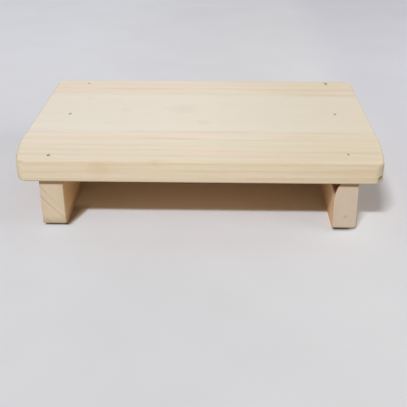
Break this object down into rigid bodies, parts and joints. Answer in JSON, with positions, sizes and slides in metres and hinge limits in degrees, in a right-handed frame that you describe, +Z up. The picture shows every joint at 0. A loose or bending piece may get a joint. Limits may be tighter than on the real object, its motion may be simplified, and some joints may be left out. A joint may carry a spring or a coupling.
{
  "type": "footed cutting board",
  "caption": "Rectangular softwood plank with rounded corners and edges, nailed down onto runner feet set in from its ends; a raised board to cut or serve on.",
  "frame": {"origin": "on the surface that the feet stand on, under the middle of the plank", "axes": "+X along the plank's length, to the right seen from the front; +Y to the back; +Z up"},
  "size_m": [0.4054, 0.288, 0.0806],
  "materials": {
    "board_pine": "planed and sanded bare softwood, pale cream, satin",
    "left_foot_pine": "sawn and sanded bare softwood, end grain to the front",
    "right_foot_pine": "sawn and sanded bare softwood, slightly pink, with a waney edge",
    "nail_steel": "dull dark wire steel"
  },
  "bodies": {
    "root": {"top_board": "board_pine", "left_foot": "left_foot_pine", "right_foot": "right_foot_pine", "nail_left_front": "nail_steel", "nail_left_middle": "nail_steel", "nail_left_back": "nail_steel", "nail_right_front": "nail_steel", "nail_right_middle": "nail_steel", "nail_right_back": "nail_steel"}
  },
  "joints": []
}
